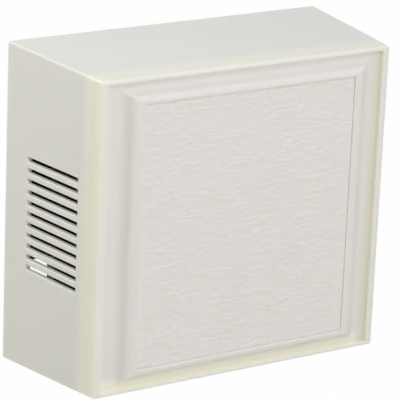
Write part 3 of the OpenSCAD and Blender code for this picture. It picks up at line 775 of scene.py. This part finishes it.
def copies_tree():
    """Sets copies of one piece on given points, each turned about an axis by its own chance."""
    tree, size, result = shape_tree(
        "copies_at_points", ["Most Turn"], Object=["Piece"], Vector=["Axis"], Int=["Seed"])
    part = add_node(tree, "GeometryNodeObjectInfo", {"Object": size["Piece"]})
    chance = add_node(tree, "FunctionNodeRandomValue", {"Seed": size["Seed"]}, data_type="FLOAT").outputs[1]
    spread = add_node(tree, "GeometryNodeInstanceOnPoints", {
        "Points": size["Geometry"], "Instance": part.outputs["Geometry"],
        "Rotation": scaled(tree, size["Axis"], calc(tree, "MULTIPLY", chance, size["Most Turn"]))})
    return finish_tree(tree, size, result, spread)


copies_at_points = copies_tree()


def copied(name, pattern, places, material, most_turn=0.0, seed=0):
    """Makes one piece of many copies, and takes the pattern piece away."""
    piece = grown(name, copies_at_points, {
        "Piece": pattern, "Axis": (0, 0, 1), "Most Turn": most_turn, "Seed": seed, "Material": material},
        points=places)
    bpy.data.objects.remove(pattern)
    return piece


rubber, rubber_shader, _ = plastic("soft_rubber", rubber_brown, 0.72, mottle=0.2, grain=0.8)
feed(rubber_shader, {"Specular IOR Level": 0.3})
grommet_ring = turned("grommet_ring", softened(in_mm((
    (1.55, -2.9), (5, -2.9), (5, -1.3), (3.35, -1.3), (3.35, 1.3), (5, 1.3), (5, 2.9), (1.55, 2.9))),
    0.5 * mm))
grommets = copied("rubber_grommets", grommet_ring, bar_places, rubber, most_turn=6.0, seed=3)
settle(grommets, rubber, "base", "tone_bar_grommets")

# The pins: four headed steel pins that go down through the grommets into the shelves of the base.
# Each head is slightly domed, with the ring that its turning leaves.
bright_steel_color = (0.66, 0.66, 0.65, 1)
bright_steel_dull = (0.40, 0.38, 0.34, 1)
bright_steel, _ = metal(
    "bright_steel", bright_steel_color, bright_steel_dull, 0.24, (2600, 2600, 500), share=0.25)
pin_turning = turned("pin_turning", softened(in_mm((
    (0, -5.95), (1.5, -5.95), (1.5, 2.95), (3.2, 2.95), (3.2, 3.55), (2.5, 3.98), (1.3, 4.15), (0, 4.15))),
    0.25 * mm))
pins = copied("bar_pins", pin_turning, bar_places, bright_steel)
settle(pins, bright_steel, "base", "tone_bar_pins")

# The solenoid frames: plated steel strip, bent to a C that closes the coil's magnetic path. One edge sits
# in a hook of the base and an ear on the other side takes a screw.
frame_steel_color = (0.58, 0.585, 0.59, 1)
frame_steel_dull = (0.42, 0.40, 0.33, 1)
frame_steel, _ = metal(
    "zinc_plated_strip", frame_steel_color, frame_steel_dull, 0.34, (900, 900, 3500), share=0.5)
for door in ("front", "rear"):
    soften_on_base(door + "_solenoid_frame", door + "_bent_strip", 0.25 * mm, frame_steel)

# The bobbins: black moulded reels, one for each door's coil. They stand inside the solenoid frames, and the
# plungers slide in their bores.
coil_x = {"front": -44 * mm, "rear": 44 * mm}
bobbin_black = (0.022, 0.021, 0.021, 1)
bobbin_profile = softened(in_mm((
    (3.08, 3.55), (11.5, 3.55), (11.5, 4.75), (4.5, 4.75),
    (4.5, 33.25), (11.5, 33.25), (11.5, 34.45), (3.08, 34.45))), 0.3 * mm)
bobbin_plastic, _, _ = plastic("black_reel_plastic", bobbin_black, 0.4, mottle=0.15, grain=0.3)
for door, x in coil_x.items():
    reel = turned(door + "_reel", bobbin_profile, x, axis_y, steps=64)
    settle(reel, bobbin_plastic, "base", door + "_bobbin")

# The windings: fine enamelled copper wire, layer on layer round each bobbin. The outer layer is drawn turn
# by turn, with the small unevenness of a quick machine winding.
copper = (0.63, 0.27, 0.11, 1)
copper_dark = (0.30, 0.11, 0.045, 1)
wire_steps, wire_sides = 28, 6


def wire_turns(tree, turns, steps):
    """A chain of points for a wound wire; returns it with each point's count of turns."""
    line = add_node(tree, "GeometryNodeMeshLine", {"Count": calc(tree, "MULTIPLY_ADD", turns, steps, 1.0)})
    return line, calc(tree, "DIVIDE", add_node(tree, "GeometryNodeInputIndex"), steps)


def tube_along(tree, curve, radius, sides):
    """A round tube with closed ends along a curve."""
    ring = add_node(tree, "GeometryNodeCurvePrimitiveCircle", {"Resolution": sides, "Radius": radius})
    return add_node(tree, "GeometryNodeCurveToMesh", {
        "Curve": curve, "Profile Curve": ring, "Fill Caps": True})


def wound_tube(tree, chain, along, radius, height, wire_radius, sides):
    """Winds a chain about an upright axis and makes it a tube."""
    angle = calc(tree, "MULTIPLY", along, 2 * math.pi)
    route = set_place(tree, chain, Position=vector_of(
        tree, calc(tree, "MULTIPLY", radius, calc(tree, "COSINE", angle)),
        calc(tree, "MULTIPLY", radius, calc(tree, "SINE", angle)), height))
    path = add_node(tree, "GeometryNodeMeshToCurve", {"Mesh": route})
    return tube_along(tree, path, wire_radius, sides)


def joined(tree, *parts):
    """Several geometries as one."""
    join = add_node(tree, "GeometryNodeJoinGeometry")
    for part in parts:
        feed(join, {"Geometry": part})
    return join


def wound_wire_tree():
    """The outer layer of turns over a plain hollow body of wire, about an upright axis."""
    tree, size, result = shape_tree(
        "wound_wire", ("Radius", "Inner Radius", "Wire Radius", "Bottom", "Top", "Waver"), Int=["Turns"])
    chain, along = wire_turns(tree, size["Turns"], wire_steps)
    wander = noise_at(tree, vector_of(tree, calc(tree, "MULTIPLY", along, 0.9), 2.0, 0.0), 3.0)
    low = calc(tree, "ADD", size["Bottom"], size["Wire Radius"])
    high = calc(tree, "SUBTRACT", size["Top"], size["Wire Radius"])
    share = calc(tree, "DIVIDE", along, size["Turns"])
    rise = calc(tree, "MULTIPLY", share, calc(tree, "SUBTRACT", high, low))
    wire_line = calc(tree, "SUBTRACT", size["Radius"], size["Wire Radius"])
    out = calc(tree, "SUBTRACT", wire_line, calc(tree, "MULTIPLY", wander, size["Waver"]))
    tube = wound_tube(tree, chain, along, out, calc(tree, "ADD", low, rise), size["Wire Radius"], wire_sides)
    full = calc(tree, "SUBTRACT", wire_line, size["Waver"])
    middle_radius = calc(tree, "MULTIPLY", calc(tree, "ADD", full, size["Inner Radius"]), 0.5)
    loop = add_node(tree, "GeometryNodeCurvePrimitiveCircle", {"Resolution": 64, "Radius": middle_radius})
    section = add_node(tree, "GeometryNodeCurvePrimitiveQuadrilateral", {
        "Width": calc(tree, "SUBTRACT", full, size["Inner Radius"]),
        "Height": calc(tree, "SUBTRACT", size["Top"], size["Bottom"])})
    body = add_node(tree, "GeometryNodeCurveToMesh", {"Curve": loop, "Profile Curve": section})
    middle = calc(tree, "MULTIPLY", calc(tree, "ADD", size["Top"], size["Bottom"]), 0.5)
    lift = add_node(tree, "GeometryNodeTransform", {
        "Geometry": body, "Translation": vector_of(tree, 0.0, 0.0, middle)})
    return finish_tree(tree, size, result, joined(tree, tube, lift))


copper_wire, copper_shader = metal(
    "enamelled_copper", copper, copper_dark, 0.3, (1500, 1500, 1500), share=0.45, streak=0.2)
feed(copper_shader, {"Coat Weight": 0.5, "Coat Roughness": 0.15})
wound_wire = wound_wire_tree()
for door, x in coil_x.items():
    winding = grown(door + "_wound_wire", wound_wire, {
        "Radius": 10.8 * mm, "Inner Radius": 4.55 * mm, "Wire Radius": 0.15 * mm, "Bottom": 4.8 * mm,
        "Top": 33.2 * mm, "Turns": 94, "Waver": 0.12 * mm, "Material": copper_wire})
    winding.data.transform(Matrix.Translation((x, axis_y, 0)))
    settle(winding, copper_wire, "base", door + "_coil_winding")

# The plunger cores: turned steel rods that the coils pull upwards. Their ends are chamfered, so that they
# don't catch in the bores of the bobbins.
core_steel_color = (0.50, 0.50, 0.50, 1)
core_steel_dull = (0.28, 0.26, 0.24, 1)
core_steel, _ = metal("turned_steel", core_steel_color, core_steel_dull, 0.3, (700, 700, 7000), share=0.3)
core_profile = softened(in_mm(((0, -8), (2.6, -8), (3, -7.6), (3, 25.6), (2.6, 26), (0, 26))), 0.1 * mm)
for door, x in coil_x.items():
    rod = turned(door + "_core_rod", core_profile, x, axis_y)
    settle(rod, core_steel, door + "_plunger", door + "_plunger_core")

# The upper tips: small nylon rods with domed ends that strike the upper tone bar. They are fixed on the
# cores, and the nylon lets a little light in.
nylon_white = (0.78, 0.76, 0.68, 1)
nylon, nylon_shader, _ = plastic("white_nylon", nylon_white, 0.4, mottle=0.05, grain=0.15)
feed(nylon_shader, {
    "Subsurface Weight": 0.4, "Subsurface Radius": (1.0, 0.95, 0.8), "Subsurface Scale": 1.5 * mm})


def dome(r, z_edge, z_top):
    """The points of a domed end, from its edge to the axis."""
    turns = [math.radians(step) for step in range(0, 90, 15)]
    return [(r * math.cos(turn), z_edge + (z_top - z_edge) * math.sin(turn)) for turn in turns] + [(0, z_top)]


tip_profile = in_mm([(0, 26), (2.0, 26), (2.2, 26.2)] + dome(2.2, 36.2, 38.4))
for door, x in coil_x.items():
    tip = turned(door + "_nylon_tip", tip_profile, x, axis_y)
    settle(tip, nylon, door + "_plunger", door + "_upper_tip")

# The lower strikers: nylon rods that hang from the cores, each with a collar for its return spring. The
# front door's has a hard domed end for the second note, and the rear door's is cut flat for a felt pad.
collar = [(2.4, -22.6), (2.7, -23), (5.2, -23), (5.4, -23.2),
          (5.4, -24.4), (5.2, -24.6), (2.7, -24.6), (2.4, -25)]
rod_top = [(0, -8), (2.2, -8), (2.4, -8.2)]
striker_ends = {"front": dome(2.4, -45.55, -47.95), "rear": [(2.4, -44.95), (0, -44.95)]}
for door, x in coil_x.items():
    striker = turned(door + "_nylon_striker", in_mm(rod_top + collar + striker_ends[door]), x, axis_y)
    settle(striker, nylon, door + "_plunger", door + "_lower_striker")

# The felt pad: a grey disc glued under the rear door's striker, so that the lower bar isn't rung as the
# plunger drops back. Its edge is uneven and short fibres stand out of it.
felt_grey = (0.20, 0.19, 0.17, 1)
felt_pale = (0.34, 0.33, 0.30, 1)
wool_scale = 3500
fibre_tip, fibre_root = 0.006 * mm, 0.018 * mm
fibre_lean = 1.1
lumps_scale, lumps_level = 1.6 / mm, 0.75


def felt_disc_tree():
    """Roughens a turned disc and sets short bent fibres on it."""
    tree, size, result = shape_tree(
        "felt_disc", ("Rough", "Fibres", "Fibre Length"), Object=["Piece"], Int=["Seed"])
    disc = add_node(tree, "GeometryNodeObjectInfo", {"Object": size["Piece"]})
    fine = add_node(tree, "GeometryNodeSubdivideMesh", {"Mesh": disc.outputs["Geometry"], "Level": 2})
    lumps = noise_at(tree, scaled(tree, point_place(tree), lumps_scale), 3.0)
    swell = calc(tree, "MULTIPLY", calc(tree, "SUBTRACT", lumps, lumps_level), size["Rough"])
    push = scaled(tree, add_node(tree, "GeometryNodeInputNormal"), swell)
    rough = set_place(tree, fine, Offset=push)
    scatter = add_node(tree, "GeometryNodeDistributePointsOnFaces", {
        "Mesh": rough, "Density": size["Fibres"], "Seed": size["Seed"]})
    fibre = add_node(tree, "GeometryNodeMeshCone", {
        "Vertices": 3, "Radius Top": fibre_tip, "Radius Bottom": fibre_root, "Depth": size["Fibre Length"]})
    lean = add_node(tree, "FunctionNodeRandomValue", {
        0: (-fibre_lean,) * 3, 1: (fibre_lean,) * 3, "Seed": size["Seed"]}, data_type="FLOAT_VECTOR")
    tilt = add_node(tree, "FunctionNodeRotateRotation", {
        "Rotation": scatter.outputs["Rotation"], "Rotate By": lean})
    hairs = add_node(tree, "GeometryNodeInstanceOnPoints", {
        "Points": scatter, "Instance": fibre, "Rotation": tilt})
    return finish_tree(tree, size, result, joined(tree, rough, hairs))


felt, tree, felt_shader = new_material("grey_felt")
wool = noise_at(tree, object_place(tree), 4.0, wool_scale)
feed(felt_shader, {
    "Base Color": blend_of(tree, wool, felt_grey, felt_pale), "Roughness": 0.95, "Sheen Weight": 0.4})
felt_disc = turned("felt_disc", softened(in_mm((
    (0, -47.9), (1.5, -47.9), (3.35, -47.9), (3.35, -46.4), (3.35, -45), (1.5, -45), (0, -45))), 0.3 * mm),
    coil_x["rear"], axis_y)
felt_pad = grown("felt_pad", felt_disc_tree(), {
    "Piece": felt_disc, "Rough": 0.16 * mm, "Fibres": 5.0e6, "Fibre Length": 0.35 * mm, "Seed": 5,
    "Material": felt})
bpy.data.objects.remove(felt_disc)
settle(felt_pad, felt, "rear_plunger", "rear_felt_pad")

# The return springs: music wire wound to nine curls, closed up at both ends. Each lies between its solenoid
# frame and the collar of its striker, and shortens as the plunger is pulled up.
spring_color = (0.62, 0.62, 0.61, 1)
spring_dull = (0.33, 0.30, 0.27, 1)
curl_steps, curl_sides = 32, 10


def coil_spring_tree():
    """A compression spring about an upright axis, with a closed curl at each end."""
    tree, size, result = shape_tree(
        "coil_spring", ("Radius", "Wire Radius", "Bottom", "Top", "End Rise"), Int=["Curls"])
    chain, along = wire_turns(tree, size["Curls"], curl_steps)
    first = calc(tree, "MULTIPLY", calc(tree, "MINIMUM", along, 1.0), size["End Rise"])
    inner_curls = calc(tree, "SUBTRACT", size["Curls"], 2.0)
    inner_share = calc(tree, "DIVIDE", calc(tree, "SUBTRACT", along, 1.0), inner_curls)
    inner_share = calc(tree, "MINIMUM", calc(tree, "MAXIMUM", inner_share, 0.0), 1.0)
    inner_rise = calc(tree, "SUBTRACT", calc(tree, "SUBTRACT", size["Top"], size["Bottom"]),
                      calc(tree, "MULTIPLY", size["End Rise"], 2.0))
    before_last = calc(tree, "ADD", inner_curls, 1.0)
    last_share = calc(tree, "MAXIMUM", calc(tree, "SUBTRACT", along, before_last), 0.0)
    rise = calc(tree, "ADD", calc(tree, "MULTIPLY_ADD", inner_share, inner_rise, first),
                calc(tree, "MULTIPLY", last_share, size["End Rise"]))
    height = calc(tree, "ADD", size["Bottom"], rise)
    tube = wound_tube(tree, chain, along, size["Radius"], height, size["Wire Radius"], curl_sides)
    return finish_tree(tree, size, result, tube)


spring_steel, _ = metal(
    "spring_wire", spring_color, spring_dull, 0.25, (1200, 1200, 4000), share=0.3, streak=0.25)
coil_spring = coil_spring_tree()
for door, x in coil_x.items():
    spring = grown(door + "_coil_spring", coil_spring, {
        "Radius": 4.3 * mm, "Wire Radius": 0.35 * mm, "Bottom": -22.6 * mm, "Top": 1.6 * mm, "Curls": 9,
        "End Rise": 1.15 * mm, "Material": spring_steel})
    spring.data.transform(Matrix.Translation((x, axis_y, 0)))
    settle(spring, spring_steel, "base", door + "_return_spring")
    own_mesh(spring)

# The terminal strip: a block of brown phenolic with three places for the bell wires. It is pressed onto two
# pegs of the base.
strip_brown = (0.055, 0.030, 0.018, 1)
strip_plastic, strip_shader, _ = plastic("brown_phenolic", strip_brown, 0.38, mottle=0.35, grain=0.2)
feed(strip_shader, {"Specular IOR Level": 0.45})
soften_on_base("terminal_strip", "phenolic_strip", 0.35 * mm, strip_plastic)

# The terminals: square brass washers and slotted brass screws that clamp the bell wires and the coil leads.
# The screws are driven into the terminal strip, and the brass has darkened in places.
brass_color = (0.68, 0.50, 0.22, 1)
brass_dull = (0.33, 0.22, 0.10, 1)
brass, _ = metal("terminal_brass", brass_color, brass_dull, 0.3, (2200, 2200, 2200), share=0.55, streak=0.25)
soften_on_base("terminal_clamps", "brass_washers", 0.15 * mm, brass)
soften_on_base("terminal_screws", "brass_screws", 0.2 * mm, brass)

# The frame screws: two slotted screws of bright steel. They are driven through the ears of the solenoid
# frames into the base.
soften_on_base("frame_screws", "steel_screws", 0.15 * mm, bright_steel)

# The coil leads: the two ends of each winding, doubled back and varnished. They are bent by hand down to the
# terminals and clamped there.
start_lead = ((33.1, -16.6, 9), (32, -16.8, 9), (30, -17, 8), (28, -17, 5), (26, -16.8, 1), (23, -16, -3),
              (20, -14.6, -5.6), (17, -12.8, -7.4), (15.2, -11.6, -8.8), (14.6, -11.55, -10.6))
end_lead = ((33.1, -16.6, 26), (31.6, -17, 26), (28, -17.4, 25), (24, -17.6, 22), (19, -17.6, 16),
            (14, -17.4, 9), (9, -16.6, 3), (5.4, -15, -2), (3.2, -13, -5.8), (2.4, -11.6, -8.6),
            (2.2, -11.55, -10.6))
lead_sides = 10


def lead_tree():
    """A smooth wire through the points of each chain."""
    tree, size, result = shape_tree("bent_lead", ["Wire Radius"], Int=["Points"])
    path = add_node(tree, "GeometryNodeMeshToCurve", {"Mesh": size["Geometry"]})
    smooth = add_node(tree, "GeometryNodeCurveSplineType", {"Curve": path}, spline_type="CATMULL_ROM")
    even = add_node(tree, "GeometryNodeResampleCurve", {"Curve": smooth, "Count": size["Points"]})
    return finish_tree(tree, size, result, tube_along(tree, even, size["Wire Radius"], lead_sides))


bent_lead = lead_tree()
lead_ends = len(start_lead)
lead_edges = [(i, i + 1) for i in range(lead_ends + len(end_lead) - 1) if i + 1 != lead_ends]
for door, side in (("front", -1), ("rear", 1)):
    route = in_mm([(side * x, y, z) for x, y, z in start_lead + end_lead])
    leads = grown(door + "_leads", bent_lead, {
        "Wire Radius": 0.5 * mm, "Points": 90, "Material": copper_wire}, points=route, edges=lead_edges)
    settle(leads, copper_wire, "base", door + "_coil_leads")
